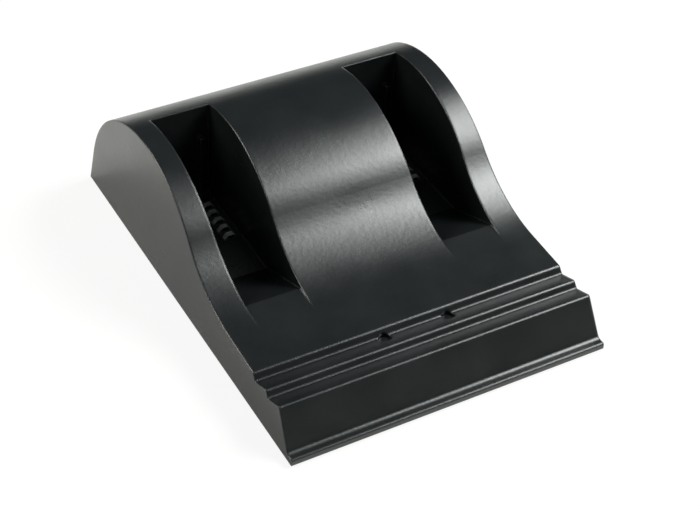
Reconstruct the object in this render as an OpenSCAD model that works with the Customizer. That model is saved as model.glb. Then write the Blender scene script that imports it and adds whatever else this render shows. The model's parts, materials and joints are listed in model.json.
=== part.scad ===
// Dual-bay desktop battery charger: one moulded housing with a wave-shaped
// side profile, two deep battery bays, a board with spring contacts and a
// screwed-on base cover.
// Millimetres. Every piece is laid out from the front edge (y) and from the
// bottom edge of the housing (z), and place() then centres the whole charger
// with the undersides of its feet on z = 0.

/* [Body] */
// Width across the bottom edge
body_w = 114; // [110:1:130]
// Depth from the front lip to the bottom edge at the rear
body_d = 154; // [150:1:175]
// Wall thickness of the housing
wall = 2.2; // [1.8:0.1:2.6]
// How far each outer side leans in, in mm for each mm of height
side_draft = 0.053; // [0.02:0.001:0.07]

/* [Wave profile] */
// Height of the crest above the bottom edge
crest_h = 44.6; // [42:0.1:48]
// Distance of the crest from the rear bottom edge
crest_back = 45; // [43:0.5:47]
// Radius of the crest towards the front
r_crest = 47.5; // [46:0.5:52]
// Radius of the back of the crest
r_rear = 38; // [35:1:40]
// Radius of the hollow sweep between apron and crest
r_sweep = 45; // [38:1:50]
// Lean of the rear wall in degrees
rear_lean = 12.4; // [10:0.2:14]
// Slope of the flat apron in degrees
apron_slope = 3; // [2:0.1:5]

/* [Front steps] */
// Height of the apron's front nose
nose_h = 14.4; // [13.4:0.1:16]
// Distance of the apron's nose from the front edge
nose_y = 27.2; // [26:0.1:29]
// Distance from one nose to the next
step_pitch = 8.4; // [7.6:0.1:8.8]
// How much higher each nose stands than the one behind it
step_rise = 0.4; // [0:0.1:0.8]
// Depth of the groove behind each nose
step_drop = 2.3; // [1.6:0.1:2.6]
// How far the groove's steep side runs forward
riser_run = 1.7; // [1:0.1:2.2]
// Depth of the lip in front of the front wall
lip_d = 3.0; // [2:0.1:3.6]
// Height of the lip
lip_h = 2.2; // [1.8:0.1:2.6]
// Radius that rounds each nose
nose_r = 0.8; // [0.4:0.1:1]
// Radius that fills each groove
groove_r = 0.6; // [0.3:0.1:0.8]
// Radius between the front wall and the lip
foot_r = 1.8; // [1:0.1:2.2]
// Radius that rounds the lip's upper edge
lip_r = 0.7; // [0.3:0.1:1]

/* [Battery bays] */
// Width of each bay at its mouth
bay_w = 21.6; // [20:0.1:23]
// Distance of each bay's middle from the charger's middle
bay_x = 36.2; // [35.4:0.1:37]
// Distance of the bay's rear wall behind the crest, at the floor
bay_rear = 11.4; // [9:0.1:12]
// How far that wall leans back, in mm for each mm of height
bay_rear_draft = 0.053; // [0.02:0.001:0.07]
// Height of the pocket floor
floor_h = 7.0; // [6.8:0.1:9]
// Distance of the break between apron and ramp from the front edge
ramp_y = 53.5; // [50:0.5:56]
// Length of the ramp down to the pocket floor
ramp_run = 22; // [18:0.5:26]
// Wall thickness of the bays
bay_wall = 1.8; // [1.5:0.1:2]
// How far each bay wall leans out, in mm for each mm of height
bay_draft = 0.033; // [0.01:0.001:0.05]
// Width of the guide rib on the bay's rear wall
rib_w = 1.8; // [1.2:0.1:2.4]
// How far the guide rib stands out
rib_out = 1.0; // [0.6:0.1:1.6]
// Height of the top of the guide rib
rib_top = 31; // [24:1:36]
// Distance of the guide rib from the bay's right wall
rib_inset = 1.6; // [1:0.1:4]

/* [Contacts] */
// Distance from one contact to the next
contact_pitch = 4.35; // [3.8:0.05:4.6]
// Length of a contact's crown across the bay
crown_len = 4.8; // [4:0.1:5.4]
// Width of a contact blade
blade_w = 1.8; // [1.2:0.1:2.2]
// Thickness of a contact blade
blade_t = 0.4; // [0.3:0.05:0.6]
// How far a crown stands above the pocket floor
crown_up = 1.1; // [0.7:0.1:1.6]
// Distance of the middle contact from the bay's rear wall
contact_back = 16; // [14:0.5:20]
// Distance of the contact block from the bay's right wall
block_inset = 0.7; // [0.4:0.1:1.5]
// Rim of the contact block around the crowns
block_rim = 0.8; // [0.6:0.1:1.1]

/* [Status lights] */
// Distance of each light from the charger's middle
light_x = 11.6; // [9:0.1:14]
// Distance of the lights in front of the apron's nose
light_fwd = 2.9; // [2.6:0.1:3.4]
// Bore of the light windows
light_bore = 4.2; // [3.6:0.1:4.8]
// Diameter of a lamp
lamp_dia = 3; // [2.6:0.1:3.2]
// How far a window lies below the groove
window_recess = 0.6; // [0.3:0.1:1]
// Thickness of the window's flange under the groove
window_flange = 1.0; // [0.8:0.1:1.2]
// How far the flange stands out round the bore
window_rim = 0.8; // [0.6:0.1:1.2]

/* [Power socket] */
// Bore of the power socket
socket_bore = 5.7; // [5.5:0.1:6.2]
// Depth of the socket's bore
socket_depth = 9.5; // [8:0.5:11]
// Diameter of the socket's centre pin
socket_pin_dia = 2.0; // [1.6:0.1:2.5]
// Outer diameter of the socket's collar
collar_dia = 8.2; // [7.8:0.1:9]
// Width of the socket's body
socket_w = 9; // [9:0.5:11]
// Height of the socket's body
socket_h = 11; // [10:0.5:12]
// Length of the socket's body
socket_len = 13.5; // [12.5:0.5:15]
// Height of the socket's axis above the board
socket_axis = 6.5; // [5.5:0.1:7]
// How far the collar's end lies inside the rear wall's face
collar_sink = 0.5; // [0.3:0.1:0.8]
// Gap between the socket's body and the rear wall
socket_gap = 1.2; // [0.8:0.1:1.6]
// Distance of the board's tongue from the socket's front
tongue_gap = 0.8; // [0.5:0.1:1.2]

/* [Board] */
// Distance of the board's edges from the sides of the housing
board_side = 9; // [8:0.5:10]
// Thickness of the circuit board
board_t = 1.6; // [1.2:0.1:1.6]
// Distance of the board's front edge from the front edge of the lip
board_front = 15; // [14:0.5:18]
// Distance of the board's rear edge behind the crest
board_rear = 18.5; // [16:0.5:19]
// Width of the board's tongue under the socket
tongue_w = 24; // [16:1:30]
// Height of the pads that carry the board
pad_h = 1.0; // [0.8:0.1:1.2]
// Diameter of the pads that carry the board
pad_dia = 7; // [6:0.5:8]
// Distance of the board's screws from the charger's middle
board_screw_x = 19; // [18:0.5:20]
// Distance of the board's screws from its front and rear edges
board_screw_in = 5; // [4.5:0.5:6]
// Diameter of the board's screws
board_screw_dia = 2.0; // [1.6:0.1:2.4]
// Height of the heads of the board's screws
board_head_h = 1.2; // [0.8:0.1:1.6]

/* [Base cover] */
// Thickness of the base cover
plate_t = 2.2; // [1.8:0.1:2.4]
// Number of ventilation slots
vent_count = 7; // [3:1:9]
// Length of each ventilation slot
vent_len = 34; // [20:1:44]
// Width of each ventilation slot
vent_w = 2.4; // [1.6:0.1:3]
// Distance from one slot to the next
vent_pitch = 4.6; // [4.2:0.1:5]
// Height of the locating rim above the base cover
rim_h = 2.4; // [1.5:0.1:3]
// Thickness of the locating rim
rim_t = 1.2; // [1:0.1:1.6]
// Thickness of the base cover's corner posts over the screw heads
post_h = 2.0; // [1.6:0.1:2.4]
// Diameter of the corner posts
post_dia = 8.4; // [7.6:0.1:9]

/* [Screws and feet] */
// Distance of the corner screws from the sides
screw_side = 11; // [10:0.5:12]
// Distance of the front screws from the front edge
screw_front = 39; // [36:0.5:41]
// Distance of the rear screws from the rear bottom edge
screw_rear = 26; // [24.5:0.5:26]
// Diameter of a screw's thread
screw_dia = 2.6; // [2.2:0.1:3]
// Length of a corner screw's thread
screw_len = 8; // [7:0.5:9]
// Diameter of a screw's head
head_dia = 5.2; // [4.6:0.1:5.6]
// Height of a screw's head
head_h = 1.6; // [1.2:0.1:1.8]
// How deep a corner screw's head is sunk
head_sink = 2.4; // [2:0.1:2.8]
// Diameter of the bosses for the corner screws
boss_dia = 6.4; // [5.6:0.2:7]
// Diameter of a rubber foot
foot_dia = 9; // [8:0.5:11]
// How far a foot stands below the base cover
foot_h = 0.8; // [0.6:0.1:1.5]
// How deep a foot sits in the base cover
foot_seat = 0.8; // [0.5:0.1:1.1]
// Distance of the feet from the front and rear edges
foot_y = 12; // [11.5:0.5:14]
// Distance of the feet from the sides
foot_side = 10; // [8.5:0.5:12]

/* [Parts on the board] */
// Outer diameter of a choke
choke_dia = 13; // [11:0.5:14]
// Height of a choke
choke_h = 9; // [7:0.5:9.5]
// Thickness of a choke's flanges
flange_t = 1.5; // [1:0.1:2]
// Distance of the chokes in front of the crest
choke_fwd = 48; // [46:0.5:49]
// Distance of the capacitors in front of the crest
cap_fwd = 34.5; // [33:0.5:35]
// Distance of chokes and capacitors from the charger's middle
small_x = 11; // [9:0.5:13]
// Diameter of a capacitor
cap_dia = 10; // [8:0.5:11]
// Height of a capacitor
cap_h = 14; // [10:0.5:15]
// Side of the controller chip
chip_w = 10; // [7:0.5:12]
// Height of the controller chip
chip_h = 1.8; // [1:0.1:2.5]
// Distance of the controller chip behind the lights
chip_back = 8; // [4:0.5:12]
// Height of the heat sink
sink_h = 22; // [18:1:26]
// Length of the heat sink along the charger
sink_len = 40; // [38:1:46]
// Thickness of the heat sink's plate
sink_t = 2; // [1.5:0.1:2.5]
// Distance of the heat sink's middle in front of the crest
sink_fwd = 8; // [6:0.5:9]
// Number of fins on each side of the heat sink
fin_count = 5; // [3:1:6]
// How far the fins stand out
fin_out = 8; // [5:0.5:9]
// Thickness of the fins
fin_t = 1.2; // [0.8:0.1:1.6]
// Gap between the fins and the power transistors under them
fin_gap = 0.5; // [0.3:0.1:2]
// Width of a power transistor along the heat sink
transistor_w = 10; // [8:0.5:11]
// Height of a power transistor's package
transistor_h = 9; // [7:0.5:9]
// Thickness of a power transistor
transistor_t = 4.6; // [3.5:0.1:5]
// Length of a power transistor's legs under its package
leg_h = 2.5; // [1.5:0.5:2.5]

/* [Fit] */
// Clearance between pieces that fit into each other
fit = 0.25; // [0.2:0.05:0.35]

/* [Hidden] */

$fn = 96;
over = 1;          // how far a cut runs past the face that it opens
joint = 0.4;       // how far a joint of the profile lies past its tangent point
crease = 0.004;    // how far a rounding passes the sides that it joins
contact_count = 5; // contacts in each bay, as many as NODES lists

// Wave profile: centres of its three arcs, from the tangent conditions
crest_c = [body_d - crest_back, crest_h - r_crest];
wall_n = [cos(rear_lean), sin(rear_lean)];
wall_reach = body_d * wall_n[0];
rear_gap = wall_reach - r_rear - (crest_c[0] * wall_n[0] + crest_c[1] * wall_n[1]);
crest_turn = asin(rear_gap / (r_crest - r_rear)) - rear_lean;
rear_c = crest_c + (r_crest - r_rear) * [sin(crest_turn), cos(crest_turn)];
apron_n = [-sin(apron_slope), cos(apron_slope)];
apron_p = [nose_y, nose_h];
crest_over = apron_n * (crest_c - apron_p);
sweep_along = sqrt(pow(r_crest + r_sweep, 2) - pow(r_sweep - crest_over, 2));
sweep_c = crest_c + (r_sweep - crest_over) * apron_n
          - sweep_along * [cos(apron_slope), sin(apron_slope)];
sweep_turn = atan2(crest_c[0] - sweep_c[0], sweep_c[1] - crest_c[1]);

// Front steps: each nose and the groove behind it, from the front to the rear
nose2 = [nose_y - step_pitch, nose_h + step_rise];
nose3 = [nose_y - 2 * step_pitch, nose_h + 2 * step_rise];
groove1 = [nose_y - riser_run, nose_h - step_drop];
groove2 = [nose2[0] - riser_run, nose2[1] - step_drop];
front_foot = [lip_d, lip_h];
front_lean = atan2(nose3[0] - front_foot[0], nose3[1] - front_foot[1]);
front_in = front_foot + wall * [cos(front_lean), -sin(front_lean)];
cavity_y = front_in[0] + (lip_h - front_in[1]) * tan(front_lean);
step_roof = groove1[1] - wall;
apron_end = sweep_c[0] + r_sweep * sin(apron_slope) + joint;
front_line = [
    [0, 0], [0, lip_h], front_foot, nose3, groove2, nose2, groove1, apron_p,
    [apron_end, apron_h(apron_end)]
];

// Battery bays
bay_rear_y = crest_c[0] + bay_rear;
bay_mouth_h = 43;
bay_top = crest_h + 10;
ramp_foot_y = ramp_y + ramp_run;
ramp_top_h = apron_h(ramp_y);
ramp_fall = atan2(ramp_top_h - floor_h, ramp_run);
bay_front_y = apron_end + joint / 2;

// Board and contacts
board_z = plate_t + pad_h;
board_w = body_w - 2 * board_side;
board_top = board_z + board_t;
block_w = crown_len + 2 * block_rim;
block_len = (contact_count - 1) * contact_pitch + blade_w + 2 * fit + 2 * block_rim;
contact_y = bay_rear_y - contact_back;
left_wall_x = -bay_x + bay_half(floor_h);
right_wall_x = bay_x + bay_half(floor_h);
block_left_x = left_wall_x - block_inset - block_w / 2;
block_right_x = right_wall_x - block_inset - block_w / 2;
board_rear_y = crest_c[0] + board_rear;
board_screws_y = [board_front + board_screw_in, board_rear_y - board_screw_in];
board_screw_len = board_t + pad_h + plate_t / 2;
board_screw_end = board_top - board_screw_len - fit;
post_top = plate_t + post_h;
screw_x = body_w / 2 - screw_side;
foot_x = body_w / 2 - foot_side;
screw_spots = [
    [-screw_x, screw_front], [screw_x, screw_front],
    [-screw_x, body_d - screw_rear], [screw_x, body_d - screw_rear]
];
screw_end = head_sink + screw_len;
foot_spots = [
    [-foot_x, foot_y], [foot_x, foot_y], [-foot_x, body_d - foot_y], [foot_x, body_d - foot_y]
];

// Power socket
socket_z = board_top + socket_axis;
rear_face_y = body_d - socket_z * tan(rear_lean);
collar_end = rear_face_y - collar_sink;
collar_len = wall / cos(rear_lean) + socket_gap;
socket_front = collar_end - collar_len;
tongue_end = socket_front - tongue_gap;
pin_sink = 1;                // how far the pin's tip lies inside the collar's end
pin_end = socket_depth + 3;  // how deep the pin reaches, with 3 mm past the bore

// Parts on the board
light_y = nose_y - light_fwd;
window_h = groove1[1] - window_recess;
window_base = step_roof - window_flange;
sink_y = crest_c[0] - sink_fwd;
choke_y = crest_c[0] - choke_fwd;
cap_y = crest_c[0] - cap_fwd;
chip_y = light_y + chip_back;

// Height of the apron's plane at a distance from the front edge
function apron_h(y) = nose_h + (y - nose_y) * tan(apron_slope);
// Half of a bay's width at a height
function bay_half(z) = bay_w / 2 + (z - bay_mouth_h) * bay_draft;
// Half of the body's width at a height
function body_half(z) = body_w / 2 - z * side_draft;
// Where two lines cross, each given by a point and its angle from the y axis
function line_cross(p, a, q, b) =
    let (s = ((q[0] - p[0]) * sin(b) - (q[1] - p[1]) * cos(b)) / (sin(b - a)))
    p + s * [cos(a), sin(a)];

// Centres the charger and stands it on its feet
module place() {
    translate([0, -body_d / 2, foot_h]) children();
}

// Extrudes a side profile, drawn as (y, z), across the charger
module across(w, x = 0) {
    translate([x - w / 2, 0, 0]) rotate([90, 0, 90]) linear_extrude(w) children();
}

// Extrudes a section, drawn as (x, z), from the front to the rear
module along(y0, y1) {
    translate([0, y1, 0]) rotate([90, 0, 0]) linear_extrude(y1 - y0) children();
}

// Shaft along z
module shaft(d, z0, z1, at = [0, 0]) {
    translate([at[0], at[1], z0]) cylinder(d = d, h = z1 - z0);
}

// Box given by its lowest corner and its highest corner
module block(a, b) {
    translate(a) cube(b - a);
}

// The wave from the sweep to the rear wall, moved inwards by t
module wave(t = 0) {
    r1 = r_crest - t;
    r2 = r_rear - t;
    r3 = r_sweep + t;
    start = sweep_c + r3 * [sin(apron_slope), -cos(apron_slope)];
    turn = sweep_c + r3 * [sin(sweep_turn), -cos(sweep_turn)];
    hand = crest_c + r1 * [sin(crest_turn), cos(crest_turn)];
    fall = rear_c + r2 * wall_n;
    top = crest_h + over;
    start_y = start[0] + joint;
    turn_y = turn[0] - joint;
    hand_y = hand[0] + 2 * joint;
    difference() {
        polygon([[start_y, 0], [start_y, start[1] + over], [turn_y, turn[1] + over], [turn_y, 0]]);
        translate(sweep_c) circle(r3);
    }
    intersection() {
        translate(crest_c) circle(r1);
        polygon([[turn_y, 0], [turn_y, top], [hand_y, top], [hand_y, 0]]);
    }
    intersection() {
        translate(rear_c) circle(r2);
        polygon([[hand_y, 0], [hand_y, top], [fall[0], top], [fall[0], 0]]);
    }
    polygon([[fall[0], 0], fall, [body_d - t / cos(rear_lean), 0]]);
}

// What lies between corner p of an outline, with neighbours a and b, and its rounding
module corner(a, p, b, r) {
    to_a = (a - p) / norm(a - p);
    to_b = (b - p) / norm(b - p);
    inward = (to_a + to_b) / norm(to_a + to_b);
    half = acos(to_a * inward);
    reach = (r - crease) / tan(half);
    past = -inward * r / 2;
    difference() {
        polygon([
            p + to_a * reach, p + to_a * reach + past, p + past,
            p + to_b * reach + past, p + to_b * reach
        ]);
        translate(p + inward * (r - crease) / sin(half)) circle(r);
    }
}

// Outer side profile with its lip, steps, grooves and apron
module outer_profile() {
    wave();
    difference() {
        union() {
            polygon(concat(front_line, [[apron_end, 0]]));
            corner(front_line[1], front_line[2], front_line[3], foot_r);
            for (i = [4, 6]) corner(front_line[i - 1], front_line[i], front_line[i + 1], groove_r);
        }
        corner(front_line[0], front_line[1], front_line[2], lip_r);
        for (i = [3, 5, 7]) corner(front_line[i - 1], front_line[i], front_line[i + 1], nose_r);
    }
}

// Inner side profile, one wall inside the outer one
module inner_profile() {
    end_y = sweep_c[0] + (r_sweep + wall) * sin(apron_slope) + joint;
    under = wall / cos(apron_slope);
    roof_y = front_in[0] + (step_roof - front_in[1]) * tan(front_lean);
    roof_end = nose_y + apron_h(nose_y) - under - step_roof;
    wave(wall);
    polygon([
        [cavity_y, 0], [cavity_y, lip_h], [roof_y, step_roof], [nose_y, step_roof],
        [roof_end, apron_h(roof_end) - under], [end_y, apron_h(end_y) - under], [end_y, 0]
    ]);
}

// Section of the body with its leaning sides, moved inwards by t
module body_section(t = 0) {
    top = crest_h + over;
    polygon([
        [-body_half(-over) + t, -over], [body_half(-over) - t, -over],
        [body_half(top) - t, top], [-body_half(top) + t, top]
    ]);
}

// Section of one bay with its leaning walls, grown by t
module bay_section(t = 0) {
    polygon([
        [-bay_half(0) - t, 0], [bay_half(0) + t, 0],
        [bay_half(bay_top) + t, bay_top], [-bay_half(bay_top) - t, bay_top]
    ]);
}

// The space of one bay: apron plane, ramp, pocket floor and rear wall
module bay_space(x) {
    rear_top = bay_rear_y + (bay_top - floor_h) * bay_rear_draft;
    intersection() {
        across(2 * bay_w, x) polygon([
            [bay_front_y, bay_top], [bay_front_y, apron_h(bay_front_y)], [ramp_y, ramp_top_h],
            [ramp_foot_y, floor_h], [bay_rear_y, floor_h], [rear_top, bay_top]
        ]);
        translate([x, 0, 0]) along(bay_front_y - over, rear_top + over) bay_section();
    }
}

// The same space with its walls round it, which the hollow inside stays clear of
module bay_shell(x) {
    rear_top = bay_rear_y + (bay_top - floor_h) * bay_rear_draft + bay_wall;
    under = floor_h - bay_wall;
    ramp_p = [ramp_y, ramp_top_h] - bay_wall * [sin(ramp_fall), cos(ramp_fall)];
    roof_p = [nose_y, nose_h - wall / cos(apron_slope)];
    knee = line_cross(roof_p, apron_slope, ramp_p, -ramp_fall);
    heel = line_cross(ramp_p, -ramp_fall, [0, under], 0);
    intersection() {
        across(2 * bay_w, x) polygon([
            [knee[0], bay_top], knee, heel, [bay_rear_y + bay_wall, under], [rear_top, bay_top]
        ]);
        translate([x, 0, 0]) along(knee[0] - over, rear_top + over) bay_section(bay_wall);
    }
}

// Guide rib on the rear wall of one bay, beside the bay's right wall
module guide_rib(right_x) {
    block(
        [right_x - rib_inset - rib_w, bay_rear_y - rib_out, floor_h - bay_wall / 2],
        [right_x - rib_inset, bay_rear_y + bay_wall, rib_top]
    );
}

// Top housing: one moulding with steps, apron, hump, side rails and bays
module top_housing() {
    place() color([0.16, 0.17, 0.17]) {
        difference() {
            intersection() {
                across(body_w + 2) outer_profile();
                along(0, body_d) body_section();
            }
            difference() {
                intersection() {
                    across(body_w) inner_profile();
                    along(0, body_d) body_section(wall);
                }
                bay_shell(-bay_x);
                bay_shell(bay_x);
                for (s = screw_spots) shaft(boss_dia, post_top, crest_h, s);
            }
            bay_space(-bay_x);
            bay_space(bay_x);
            for (x = [block_left_x, block_right_x]) {
                block(
                    [x - block_w / 2 - fit, contact_y - block_len / 2 - fit, floor_h - bay_wall - over],
                    [x + block_w / 2 + fit, contact_y + block_len / 2 + fit, floor_h + over]
                );
            }
            for (s = screw_spots) shaft(screw_dia, post_top - over, screw_end, s);
            for (x = [-light_x, light_x]) shaft(light_bore, window_base, nose_h + over, [x, light_y]);
            translate([0, body_d + over, socket_z]) rotate([90, 0, 0])
                cylinder(d = collar_dia + 2 * fit, h = body_d - socket_front + 2 * over);
        }
        guide_rib(left_wall_x);
        guide_rib(right_wall_x);
    }
}

// Base cover with vents, board pads, rim and corner posts
module base_cover() {
    rim_top = plate_t + rim_h;
    half = body_half(plate_t) - wall - fit;
    rim_half = half - rim_h * side_draft;
    rear = body_d - (wall + fit) / cos(rear_lean) - rim_top * tan(rear_lean);
    rim_inset = 1.5 * post_dia;
    vent_x0 = -(vent_count - 1) / 2 * vent_pitch;
    place() color([0.12, 0.13, 0.13]) difference() {
        union() {
            block([-half, cavity_y + fit, 0], [half, rear, plate_t]);
            for (s = screw_spots) shaft(post_dia, 0, post_top, s);
            for (y = board_screws_y, x = [-board_screw_x, board_screw_x]) {
                shaft(pad_dia, plate_t / 2, board_z, [x, y]);
            }
            for (m = [0, 1]) mirror([m, 0, 0]) {
                block([rim_half - rim_t, screw_front + post_dia, plate_t / 2],
                      [rim_half, rear - 2 * rim_inset, rim_top]);
                block([tongue_w / 2, rear - rim_t, plate_t / 2], [half - rim_inset, rear, rim_top]);
            }
        }
        for (s = screw_spots) {
            shaft(screw_dia + 2 * fit, -over, post_top + over, s);
            shaft(head_dia + 2 * fit, -over, head_sink, s);
        }
        for (y = board_screws_y, x = [-board_screw_x, board_screw_x]) {
            shaft(board_screw_dia, board_screw_end, board_z + over, [x, y]);
        }
        for (s = foot_spots) shaft(foot_dia, -over, foot_seat, s);
        for (i = [0 : vent_count - 1]) {
            translate([vent_x0 + i * vent_pitch, sink_y, -over])
                linear_extrude(plate_t + 2 * over) {
                    square([vent_w, vent_len - vent_w], center = true);
                    for (e = [-1, 1]) translate([0, e * (vent_len - vent_w) / 2]) circle(d = vent_w);
                }
        }
    }
}

// Circuit board with a tongue under the power socket
module circuit_board() {
    half = board_w / 2;
    place() color([0.10, 0.33, 0.20]) translate([0, 0, board_z]) linear_extrude(board_t)
        difference() {
            polygon([
                [-half, board_front], [half, board_front], [half, board_rear_y],
                [tongue_w / 2, board_rear_y], [tongue_w / 2, tongue_end],
                [-tongue_w / 2, tongue_end], [-tongue_w / 2, board_rear_y], [-half, board_rear_y]
            ]);
            for (s = screw_spots) translate(s) circle(d = post_dia + 6 * fit);
            for (y = board_screws_y, x = [-board_screw_x, board_screw_x]) {
                translate([x, y]) circle(d = board_screw_dia + 2 * fit);
            }
        }
}

// Screw along z with its head's seat at z0, pointing up (dir 1) or down (dir -1)
module screw(at, z0, dir, d, len, hd, hh) {
    slot_w = hd / 7;
    slot_h = hh / 2;
    translate([at[0], at[1], z0]) mirror([0, 0, dir > 0 ? 0 : 1]) {
        cylinder(d = d, h = len - d / 2);
        translate([0, 0, len - d / 2]) cylinder(d1 = d, d2 = d / 3, h = d / 2);
        difference() {
            translate([0, 0, -hh]) cylinder(d = hd, h = hh);
            for (a = [0, 90]) rotate(a) translate([-hd / 4, -slot_w / 2, -hh - over])
                cube([hd / 2, slot_w, over + slot_h]);
        }
    }
}

// The two pairs of screws that hold the board to its pads
module board_screws() {
    place() color([0.72, 0.72, 0.70]) {
        for (y = board_screws_y, x = [-board_screw_x, board_screw_x]) {
            screw([x, y], board_top, -1, board_screw_dia, board_screw_len,
                  2 * board_screw_dia, board_head_h);
        }
    }
}

// The four screws that hold the base cover to the housing
module base_screws() {
    place() color([0.62, 0.62, 0.60]) {
        for (s = screw_spots) screw(s, head_sink, 1, screw_dia, screw_len - fit, head_dia, head_h);
    }
}

// Moulded block that stands on the board and fills the window in a bay's floor
module contact_block(x) {
    y0 = contact_y - (contact_count - 1) / 2 * contact_pitch;
    place() color([0.10, 0.10, 0.11]) difference() {
        block(
            [x - block_w / 2, contact_y - block_len / 2, board_top],
            [x + block_w / 2, contact_y + block_len / 2, floor_h]
        );
        for (i = [0 : contact_count - 1]) {
            translate([x, y0 + i * contact_pitch, 0])
                block([-crown_len / 2 - fit, -blade_w / 2 - fit, board_top - over],
                      [crown_len / 2 + fit, blade_w / 2 + fit, floor_h + over]);
        }
    }
}
module contact_block_left() { contact_block(block_left_x); }
module contact_block_right() { contact_block(block_right_x); }

// Gives a blade's outline, drawn as (x, z), its width along the charger
module across_blade(x) {
    translate([x, blade_w / 2, 0]) rotate([90, 0, 0]) linear_extrude(blade_w) children();
}

// Bent contact blade: two feet on the board and a crown above the pocket floor
module contact_blade(x, i) {
    y = contact_y + (i - (contact_count + 1) / 2) * contact_pitch;
    top = floor_h + crown_up;
    half = crown_len / 2;
    bend = 1.4;
    miter = blade_t * tan(22.5);
    place() color([0.83, 0.70, 0.38]) translate([0, y, 0]) across_blade(x) difference() {
        polygon([
            [-half, board_top], [-half, top - bend], [-half + bend, top],
            [half - bend, top], [half, top - bend], [half, board_top]
        ]);
        polygon([
            [-half + blade_t, board_top - over], [-half + blade_t, top - bend - miter],
            [-half + bend + miter, top - blade_t], [half - bend - miter, top - blade_t],
            [half - blade_t, top - bend - miter], [half - blade_t, board_top - over]
        ]);
    }
}

// Status lamp with its flange, standing on the board
module status_lamp(x) {
    flange = 1;
    dome_z = window_base - fit - lamp_dia / 2;
    place() color([0.80, 0.25, 0.20]) translate([x, light_y, 0]) {
        shaft(lamp_dia + flange, board_top, board_top + flange);
        shaft(lamp_dia, board_top, dome_z);
        translate([0, 0, dome_z]) intersection() {
            sphere(d = lamp_dia);
            shaft(lamp_dia + over, -crease, lamp_dia);
        }
    }
}

// Clear window that carries a lamp's light up into its groove
module lamp_window(x) {
    place() color([0.35, 0.36, 0.36]) translate([x, light_y, 0]) {
        shaft(light_bore - 2 * fit, window_base, window_h);
        shaft(light_bore + 2 * window_rim, window_base, step_roof);
    }
}

// Power socket: body on the board's tongue and collar in the rear wall
module power_socket() {
    place() color([0.07, 0.07, 0.08]) difference() {
        union() {
            block([-socket_w / 2, socket_front - socket_len, board_top],
                  [socket_w / 2, socket_front, board_top + socket_h]);
            translate([0, collar_end, socket_z]) rotate([90, 0, 0])
                cylinder(d = collar_dia, h = collar_len + over);
        }
        translate([0, collar_end + over, socket_z]) rotate([90, 0, 0])
            cylinder(d = socket_bore, h = socket_depth + over);
        translate([0, collar_end, socket_z]) rotate([90, 0, 0])
            cylinder(d = socket_pin_dia, h = pin_end);
    }
}

// Centre pin of the power socket
module socket_pin() {
    place() color([0.75, 0.75, 0.72])
        translate([0, collar_end - pin_sink, socket_z]) rotate([90, 0, 0])
            cylinder(d = socket_pin_dia, h = pin_end - pin_sink);
}

// Heat sink: upright plate with fins, above the two power transistors
module heat_sink() {
    top = board_top + sink_h;
    fin_low = board_top + leg_h + transistor_h + fin_gap;
    pitch = (sink_len - fin_t) / (fin_count - 1);
    place() color([0.62, 0.63, 0.64]) {
        block([-sink_t / 2, sink_y - sink_len / 2, board_top],
              [sink_t / 2, sink_y + sink_len / 2, top]);
        for (i = [0 : fin_count - 1]) {
            y = sink_y - sink_len / 2 + i * pitch;
            block([-fin_out, y, fin_low], [fin_out, y + fin_t, top]);
        }
    }
}

// Power transistor, flat against one side of the heat sink
module power_transistor(s) {
    x = s * (sink_t + transistor_t) / 2;
    low = board_top + leg_h;
    leg = 0.8;
    place() color([0.12, 0.12, 0.12]) {
        block([x - transistor_t / 2, sink_y - transistor_w / 2, low],
              [x + transistor_t / 2, sink_y + transistor_w / 2, low + transistor_h]);
        for (y = [sink_y - transistor_w / 4, sink_y, sink_y + transistor_w / 4]) {
            block([x - leg / 2, y - leg / 2, board_top], [x + leg / 2, y + leg / 2, low + leg]);
        }
    }
}

// Choke: winding between the two flanges of its core
module choke(x) {
    top = board_top + choke_h;
    place() color([0.55, 0.33, 0.16]) translate([x, choke_y, 0]) {
        shaft(choke_dia, board_top, board_top + flange_t);
        shaft(choke_dia - flange_t, board_top, top);
        shaft(choke_dia, top - flange_t, top);
    }
}

// Capacitor can with its rolled groove and its sunk top
module capacitor(x) {
    top = board_top + cap_h;
    groove = cap_dia / 20;
    rim = cap_dia / 10;
    place() color([0.14, 0.16, 0.30]) translate([x, cap_y, 0]) difference() {
        shaft(cap_dia, board_top, top);
        translate([0, 0, board_top + 4 * groove]) rotate_extrude()
            translate([cap_dia / 2, 0]) circle(groove, $fn = 24);
        shaft(cap_dia - 2 * rim, top - rim / 3, top + over);
    }
}

// Controller chip
module controller_chip() {
    place() color([0.10, 0.10, 0.11])
        block([-chip_w / 2, chip_y, board_top], [chip_w / 2, chip_y + chip_w, board_top + chip_h]);
}

// Rubber foot with a bevelled edge, half sunk in the base cover
module foot(spot) {
    bevel = 0.35;
    place() color([0.20, 0.20, 0.20]) {
        shaft(foot_dia, bevel - foot_h, foot_seat, spot);
        translate([spot[0], spot[1], -foot_h])
            cylinder(d1 = foot_dia - 2 * bevel, d2 = foot_dia, h = bevel);
    }
}

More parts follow.
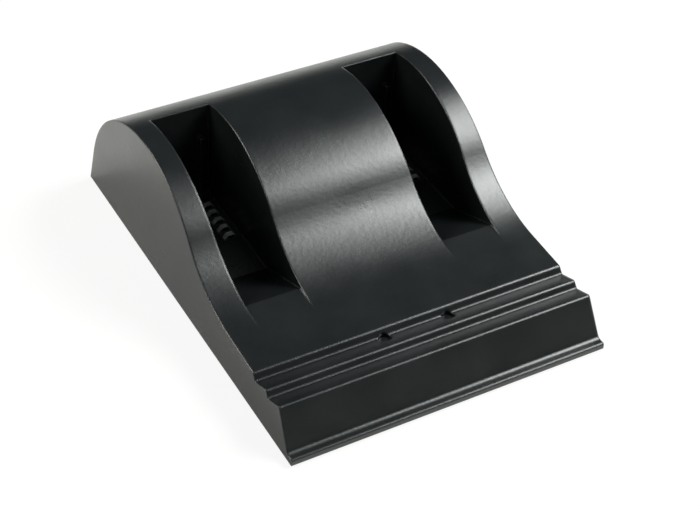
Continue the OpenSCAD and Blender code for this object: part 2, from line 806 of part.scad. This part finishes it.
top_housing();
base_cover();
circuit_board();
board_screws();
base_screws();
contact_block_left();
contact_block_right();
contact_blade(block_left_x, 1);  // contact_left_1
contact_blade(block_left_x, 2);  // contact_left_2
contact_blade(block_left_x, 3);  // contact_left_3
contact_blade(block_left_x, 4);  // contact_left_4
contact_blade(block_left_x, 5);  // contact_left_5
contact_blade(block_right_x, 1);  // contact_right_1
contact_blade(block_right_x, 2);  // contact_right_2
contact_blade(block_right_x, 3);  // contact_right_3
contact_blade(block_right_x, 4);  // contact_right_4
contact_blade(block_right_x, 5);  // contact_right_5
status_lamp(-light_x);  // status_lamp_left
status_lamp(light_x);  // status_lamp_right
lamp_window(-light_x);  // lamp_window_left
lamp_window(light_x);  // lamp_window_right
power_socket();
socket_pin();
heat_sink();
power_transistor(-1);  // power_transistor_left
power_transistor(1);  // power_transistor_right
choke(-small_x);  // choke_left
choke(small_x);  // choke_right
capacitor(-small_x);  // capacitor_left
capacitor(small_x);  // capacitor_right
controller_chip();
foot(foot_spots[0]);  // foot_front_left
foot(foot_spots[1]);  // foot_front_right
foot(foot_spots[2]);  // foot_rear_left
foot(foot_spots[3]);  // foot_rear_right
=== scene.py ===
"""Looks of the dual bay battery charger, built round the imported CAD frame.

Every CAD node keeps its place and its mesh and gets a procedural material.
A white floor, studio light and the camera of the photograph are set round it.
Lengths are metres, in the row frame.
"""

import json
import math

import bpy
from mathutils import Matrix, Vector

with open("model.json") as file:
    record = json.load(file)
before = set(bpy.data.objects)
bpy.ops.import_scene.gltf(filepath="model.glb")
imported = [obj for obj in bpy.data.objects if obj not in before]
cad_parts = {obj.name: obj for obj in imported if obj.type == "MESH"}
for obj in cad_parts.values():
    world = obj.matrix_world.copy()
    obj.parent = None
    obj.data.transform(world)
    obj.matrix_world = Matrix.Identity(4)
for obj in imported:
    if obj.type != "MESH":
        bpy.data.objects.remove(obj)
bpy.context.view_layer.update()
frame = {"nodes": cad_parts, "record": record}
nodes = frame["nodes"]

MM = 0.001

scene = bpy.context.scene
scene.view_settings.view_transform = "Standard"


# Nodes that the materials share

NOISE_OFFSET = (0.317, 0.421, 0.253)


def new_material(name):
    """An empty material: (material, node tree, Principled shader)."""
    material = bpy.data.materials.new(name)
    material.use_nodes = True
    tree = material.node_tree
    tree.nodes.clear()
    output = tree.nodes.new("ShaderNodeOutputMaterial")
    shader = tree.nodes.new("ShaderNodeBsdfPrincipled")
    tree.links.new(shader.outputs["BSDF"], output.inputs["Surface"])
    return material, tree, shader


def object_coords(tree):
    """Object coordinates, moved off the origin, where noise shows its lattice."""
    coords = tree.nodes.new("ShaderNodeTexCoord")
    moved = tree.nodes.new("ShaderNodeMapping")
    moved.inputs["Location"].default_value = NOISE_OFFSET
    tree.links.new(coords.outputs["Object"], moved.inputs["Vector"])
    return moved.outputs["Vector"]


def noise(tree, coords, per_metre, detail=2.0, rough=0.5):
    """A noise texture with so many features to the metre."""
    texture = tree.nodes.new("ShaderNodeTexNoise")
    texture.inputs["Scale"].default_value = per_metre
    texture.inputs["Detail"].default_value = detail
    texture.inputs["Roughness"].default_value = rough
    tree.links.new(coords, texture.inputs["Vector"])
    return texture.outputs["Fac"]


def bands(tree, coords, direction, per_metre, distortion):
    """Parallel bands that follow one another along an axis."""
    wave = tree.nodes.new("ShaderNodeTexWave")
    wave.wave_type = "BANDS"
    wave.bands_direction = direction
    wave.inputs["Scale"].default_value = per_metre
    wave.inputs["Distortion"].default_value = distortion
    tree.links.new(coords, wave.inputs["Vector"])
    return wave.outputs["Fac"]


def spread(tree, value, low, high, start=0.3, end=0.7):
    """Maps the part start..end of a value to low..high."""
    mapped = tree.nodes.new("ShaderNodeMapRange")
    mapped.inputs["From Min"].default_value = start
    mapped.inputs["From Max"].default_value = end
    mapped.inputs["To Min"].default_value = low
    mapped.inputs["To Max"].default_value = high
    tree.links.new(value, mapped.inputs["Value"])
    return mapped.outputs["Result"]


def two_tone(tree, value, dark, light, start=0.3, end=0.7):
    """A colour between dark and light, driven by a value."""
    ramp = tree.nodes.new("ShaderNodeValToRGB")
    first, last = ramp.color_ramp.elements
    first.position, first.color = start, (*dark, 1)
    last.position, last.color = end, (*light, 1)
    tree.links.new(value, ramp.inputs["Fac"])
    return ramp.outputs["Color"]


def maths(tree, operation, first, second):
    """A math node. The second input is a number or another node's output."""
    node = tree.nodes.new("ShaderNodeMath")
    node.operation = operation
    tree.links.new(first, node.inputs[0])
    if isinstance(second, float):
        node.inputs[1].default_value = second
    else:
        tree.links.new(second, node.inputs[1])
    return node.outputs["Value"]


def bump(tree, height, depth, strength=1.0, under=None):
    """Bump of a depth in metres, on top of another normal."""
    node = tree.nodes.new("ShaderNodeBump")
    node.inputs["Distance"].default_value = depth
    node.inputs["Strength"].default_value = strength
    tree.links.new(height, node.inputs["Height"])
    if under is not None:
        tree.links.new(under, node.inputs["Normal"])
    return node.outputs["Normal"]


def bevelled_normal(tree, radius, samples):
    """The normal as it would be with every edge rounded to a radius."""
    node = tree.nodes.new("ShaderNodeBevel")
    node.samples = samples
    node.inputs["Radius"].default_value = radius
    return node.outputs["Normal"]


# Materials

PLASTIC_IOR = 1.58
CLEAR_PLASTIC_IOR = 1.49
CLOUDS_PER_METRE = 55
MOTTLES_PER_METRE = 620
WEAR_RADIUS = 0.5 * MM
WEAR_PATCHES_PER_METRE = 260
WEAR_COLOUR = (0.16, 0.165, 0.165, 1)
# Cosine between the true and the bevelled normal: fully an edge, not an edge
EDGE_COSINES = (0.80, 0.995)
# Colour sockets of a Mix node set to RGBA
MIX_A, MIX_B, MIX_RESULT = 6, 7, 2


def rubbed_edges(tree, coords, colour, wear):
    """The colour, with patches along the edges that are rubbed paler."""
    true_normal = tree.nodes.new("ShaderNodeNewGeometry").outputs["Normal"]
    cosine = tree.nodes.new("ShaderNodeVectorMath")
    cosine.operation = "DOT_PRODUCT"
    tree.links.new(bevelled_normal(tree, WEAR_RADIUS, samples=4), cosine.inputs[0])
    tree.links.new(true_normal, cosine.inputs[1])
    edge = spread(tree, cosine.outputs["Value"], 1.0, 0.0, *EDGE_COSINES)
    patches = spread(tree, noise(tree, coords, WEAR_PATCHES_PER_METRE, detail=3.0), 0.2, 1.0)
    rubbed = tree.nodes.new("ShaderNodeMix")
    rubbed.data_type = "RGBA"
    share = spread(tree, maths(tree, "MULTIPLY", edge, patches), 0, wear, start=0, end=1)
    tree.links.new(share, rubbed.inputs["Factor"])
    tree.links.new(colour, rubbed.inputs[MIX_A])
    rubbed.inputs[MIX_B].default_value = WEAR_COLOUR
    return rubbed.outputs[MIX_RESULT]


def moulded_plastic(name, dark, light, rough, grain=1300, grain_depth=6e-6, mottle_depth=9e-6,
                    wear=None, edge_radius=None):
    """Moulded plastic: spark-eroded grain and mottle, with cloudy colour and gloss.

    Where they are given, wear rubs the edges paler by that share, and
    edge_radius makes the edges shade as if they were rounded.
    """
    material, tree, shader = new_material(name)
    coords = object_coords(tree)
    fine = noise(tree, coords, grain, detail=1.0, rough=0.6)
    cloud = noise(tree, coords, CLOUDS_PER_METRE, detail=4.0, rough=0.55)
    colour = two_tone(tree, cloud, dark, light)
    if wear:
        colour = rubbed_edges(tree, coords, colour, wear)
    tree.links.new(colour, shader.inputs["Base Color"])
    tree.links.new(spread(tree, cloud, *rough), shader.inputs["Roughness"])
    shader.inputs["IOR"].default_value = PLASTIC_IOR
    normal = bevelled_normal(tree, edge_radius, samples=6) if edge_radius else None
    mottle = noise(tree, coords, MOTTLES_PER_METRE, detail=3.0)
    normal = bump(tree, mottle, mottle_depth, under=normal)
    normal = bump(tree, fine, grain_depth, under=normal)
    tree.links.new(normal, shader.inputs["Normal"])
    return material


def metal(name, dark, light, rough, brush=(1, 1, 1)):
    """Drawn or plated metal, with a little tarnish.

    The fine marks run along the axis whose brush scale is the lowest.
    """
    material, tree, shader = new_material(name)
    coords = object_coords(tree)
    stretch = tree.nodes.new("ShaderNodeMapping")
    stretch.inputs["Scale"].default_value = brush
    tree.links.new(coords, stretch.inputs["Vector"])
    marks = noise(tree, stretch.outputs["Vector"], per_metre=900, detail=4.0, rough=0.6)
    tarnish = noise(tree, coords, per_metre=320, detail=3.0)
    tree.links.new(two_tone(tree, tarnish, dark, light), shader.inputs["Base Color"])
    tree.links.new(spread(tree, marks, *rough), shader.inputs["Roughness"])
    shader.inputs["Metallic"].default_value = 1.0
    tree.links.new(bump(tree, marks, depth=4e-6, strength=0.6), shader.inputs["Normal"])
    return material


def board_laminate(name, mask, copper):
    """Solder mask over glass cloth, with copper tracks that show as raised paler lines."""
    material, tree, shader = new_material(name)
    coords = object_coords(tree)
    weave = bands(tree, coords, "X", per_metre=330, distortion=0.6)
    cells = tree.nodes.new("ShaderNodeTexVoronoi")
    cells.feature = "F1"
    cells.distance = "CHEBYCHEV"
    cells.inputs["Scale"].default_value = 150
    tree.links.new(coords, cells.inputs["Vector"])
    tracks = cells.outputs["Distance"]
    colour = two_tone(tree, tracks, mask, copper, start=0.42, end=0.46)
    tree.links.new(colour, shader.inputs["Base Color"])
    roughness = spread(tree, weave, 0.25, 0.4, start=0, end=1)
    tree.links.new(roughness, shader.inputs["Roughness"])
    tree.links.new(bump(tree, tracks, depth=3e-5, strength=0.4), shader.inputs["Normal"])
    return material


def clear_plastic(name, tint):
    """Tinted clear plastic with faint moulding ripples."""
    material, tree, shader = new_material(name)
    coords = object_coords(tree)
    cloud = noise(tree, coords, per_metre=240, detail=3.0)
    lighter = tuple(part * 1.5 for part in tint)
    tree.links.new(two_tone(tree, cloud, tint, lighter), shader.inputs["Base Color"])
    tree.links.new(spread(tree, cloud, 0.12, 0.22), shader.inputs["Roughness"])
    shader.inputs["Transmission Weight"].default_value = 0.45
    shader.inputs["IOR"].default_value = CLEAR_PLASTIC_IOR
    ripples = noise(tree, coords, per_metre=700)
    tree.links.new(bump(tree, ripples, depth=1.2e-5, strength=0.5), shader.inputs["Normal"])
    return material


def wound_choke(name, gap, wire):
    """Enamelled wire in tight horizontal turns, with painted shade, a darker copper colour, in
    the gaps between them.
    """
    material, tree, shader = new_material(name)
    turns = bands(tree, object_coords(tree), "Z", per_metre=520, distortion=0.4)
    # The colour in the gaps between the turns is painted shade, not a different material.
    colour = two_tone(tree, turns, gap, wire, start=0.1, end=0.9)
    tree.links.new(colour, shader.inputs["Base Color"])
    roughness = spread(tree, turns, 0.2, 0.45, start=0, end=1)
    tree.links.new(roughness, shader.inputs["Roughness"])
    tree.links.new(bump(tree, turns, depth=1.5e-4, strength=0.8), shader.inputs["Normal"])
    return material


# Each material slot with what makes it and its settings
LOOKS = {
    "housing_plastic": (moulded_plastic, dict(
        dark=(0.0045, 0.0055, 0.006), light=(0.007, 0.0083, 0.0088), rough=(0.27, 0.325),
        mottle_depth=3e-5, wear=0.4, edge_radius=1.0 * MM)),
    "base_plastic": (moulded_plastic, dict(
        dark=(0.012, 0.014, 0.015), light=(0.018, 0.02, 0.021), rough=(0.36, 0.46), wear=0.3)),
    "contact_plastic": (moulded_plastic, dict(
        dark=(0.01, 0.01, 0.011), light=(0.016, 0.016, 0.017), rough=(0.42, 0.55), grain=1800)),
    "socket_plastic": (moulded_plastic, dict(
        dark=(0.008, 0.008, 0.009), light=(0.013, 0.013, 0.014), rough=(0.35, 0.5), grain=1800)),
    "foot_rubber": (moulded_plastic, dict(
        dark=(0.012, 0.012, 0.012), light=(0.024, 0.024, 0.023), rough=(0.7, 0.88),
        grain=1500, grain_depth=2e-5)),
    "chip_plastic": (moulded_plastic, dict(
        dark=(0.012, 0.012, 0.013), light=(0.02, 0.02, 0.021), rough=(0.45, 0.6),
        grain=3000, grain_depth=1e-5)),
    "capacitor_sleeve": (moulded_plastic, dict(
        dark=(0.008, 0.011, 0.05), light=(0.014, 0.018, 0.075), rough=(0.18, 0.28),
        grain=900, grain_depth=4e-6)),
    "lamp_resin": (clear_plastic, dict(tint=(0.36, 0.03, 0.02))),
    "window_plastic": (clear_plastic, dict(tint=(0.012, 0.0125, 0.013))),
    "contact_metal": (metal, dict(
        dark=(0.78, 0.77, 0.73), light=(0.92, 0.91, 0.88), rough=(0.42, 0.6), brush=(1, 8, 8))),
    "screw_steel": (metal, dict(
        dark=(0.42, 0.42, 0.4), light=(0.62, 0.62, 0.59), rough=(0.28, 0.5))),
    "pin_metal": (metal, dict(
        dark=(0.55, 0.55, 0.52), light=(0.72, 0.72, 0.69), rough=(0.12, 0.26), brush=(8, 1, 8))),
    "sink_aluminium": (metal, dict(
        dark=(0.5, 0.5, 0.51), light=(0.62, 0.63, 0.64), rough=(0.35, 0.55), brush=(8, 1, 8))),
    "board_laminate": (board_laminate, dict(
        mask=(0.012, 0.075, 0.035), copper=(0.03, 0.16, 0.07))),
    # The choke's darker gap colour is painted shade between the wire turns.
    "choke_winding": (wound_choke, dict(gap=(0.16, 0.05, 0.02), wire=(0.5, 0.2, 0.08))),
}
MATERIALS = {slot: make(slot, **settings) for slot, (make, settings) in LOOKS.items()}

for part in frame["record"]["subparts"]:
    obj = nodes[part["node"]]
    obj.data.materials.clear()
    obj.data.materials.append(MATERIALS[part["material_slot"]])


# Floor, world and light

FLOOR_HALF = 8.0
FLOOR_COLOUR = (0.9, 0.89, 0.85, 1)
WHITE = (1, 1, 1, 1)
# How much of the floor is plain white to each kind of ray. The rest is lit and takes shadow.
WHITE_SHARES = (("Is Camera Ray", 0.87), ("Is Glossy Ray", 0.08), ("Is Transmission Ray", 0.12))
WORLD_AT_HORIZON = (0.045, 0.05, 0.052)
WORLD_ABOVE = (0.112, 0.127, 0.136)
LIGHTS_AIM = Vector((0, 0, 0.02))


def floor_material():
    """White paper: white to the camera and in reflections, with the object's soft shadow."""
    material, tree, shader = new_material("floor_paper")
    shader.inputs["Base Color"].default_value = FLOOR_COLOUR
    shader.inputs["Roughness"].default_value = 0.9
    glow = tree.nodes.new("ShaderNodeEmission")
    glow.inputs["Color"].default_value = WHITE
    glow.inputs["Strength"].default_value = 1.0
    path = tree.nodes.new("ShaderNodeLightPath")
    shares = [maths(tree, "MULTIPLY", path.outputs[ray], part) for ray, part in WHITE_SHARES]
    share = shares[0]
    for other in shares[1:]:
        share = maths(tree, "MAXIMUM", share, other)
    mix = tree.nodes.new("ShaderNodeMixShader")
    tree.links.new(share, mix.inputs["Fac"])
    tree.links.new(shader.outputs["BSDF"], mix.inputs[1])
    tree.links.new(glow.outputs["Emission"], mix.inputs[2])
    output = next(node for node in tree.nodes if node.type == "OUTPUT_MATERIAL")
    tree.links.new(mix.outputs["Shader"], output.inputs["Surface"])
    return material


def add_floor():
    """A flat square under the charger."""
    mesh = bpy.data.meshes.new("floor")
    signs = ((-1, -1), (1, -1), (1, 1), (-1, 1))
    corners = [(x * FLOOR_HALF, y * FLOOR_HALF, 0) for x, y in signs]
    mesh.from_pydata(corners, [], [(0, 1, 2, 3)])
    mesh.materials.append(floor_material())
    floor = bpy.data.objects.new("floor", mesh)
    scene.collection.objects.link(floor)


def add_world():
    """A dim room that gets lighter from the horizon upward."""
    world = bpy.data.worlds.new("studio")
    scene.world = world
    world.use_nodes = True
    tree = world.node_tree
    tree.nodes.clear()
    coords = tree.nodes.new("ShaderNodeTexCoord")
    split = tree.nodes.new("ShaderNodeSeparateXYZ")
    tree.links.new(coords.outputs["Generated"], split.inputs["Vector"])
    up = split.outputs["Z"]
    colour = two_tone(tree, up, WORLD_AT_HORIZON, WORLD_ABOVE, start=0, end=0.6)
    background = tree.nodes.new("ShaderNodeBackground")
    background.inputs["Strength"].default_value = 1.0
    tree.links.new(colour, background.inputs["Color"])
    output = tree.nodes.new("ShaderNodeOutputWorld")
    tree.links.new(background.outputs["Background"], output.inputs["Surface"])


def softbox(name, azimuth, elevation, distance, size, watts, colour):
    """An area light that looks at the charger. Azimuth 0 is the front and 90 the right."""
    light = bpy.data.lights.new(name, "AREA")
    light.shape = "RECTANGLE"
    light.size, light.size_y = size
    light.energy = watts
    light.color = colour
    lamp = bpy.data.objects.new(name, light)
    a, e = math.radians(azimuth), math.radians(elevation)
    back = Vector((math.sin(a) * math.cos(e), -math.cos(a) * math.cos(e), math.sin(e)))
    lamp.location = LIGHTS_AIM + back * distance
    lamp.rotation_mode = "QUATERNION"
    lamp.rotation_quaternion = (-back).to_track_quat("-Z", "Y")
    scene.collection.objects.link(lamp)


add_floor()
add_world()
softbox("key", azimuth=71.5, elevation=47.4, distance=1.0, size=(0.67, 0.43), watts=15.6,
        colour=(0.965, 1.0, 0.985))
softbox("fill_left", azimuth=-118, elevation=32, distance=0.5, size=(0.25, 0.25), watts=1.7,
        colour=(1.0, 0.99, 0.95))


# Camera, fitted to the photograph's straight edges

CAMERA_AT = Vector((-0.2236006, -0.3745242, 0.3791603))
CAMERA_LOOK = Vector((0.39536037, 0.64511108, -0.65385157))
CAMERA_UP = Vector((0.28613087, 0.58993026, 0.75505723))
SENSOR_WIDTH_MM = 36
LENS_MM = 87.43

camera_side = CAMERA_LOOK.cross(CAMERA_UP)
camera_turn = Matrix((camera_side, CAMERA_UP, -CAMERA_LOOK)).transposed()
camera_data = bpy.data.cameras.new("camera")
camera_data.sensor_width = SENSOR_WIDTH_MM
camera_data.lens = LENS_MM
camera_data.clip_start = 0.01
camera = bpy.data.objects.new("camera", camera_data)
camera.matrix_world = Matrix.Translation(CAMERA_AT) @ camera_turn.to_4x4()
scene.collection.objects.link(camera)
scene.camera = camera

bpy.context.view_layer.update()
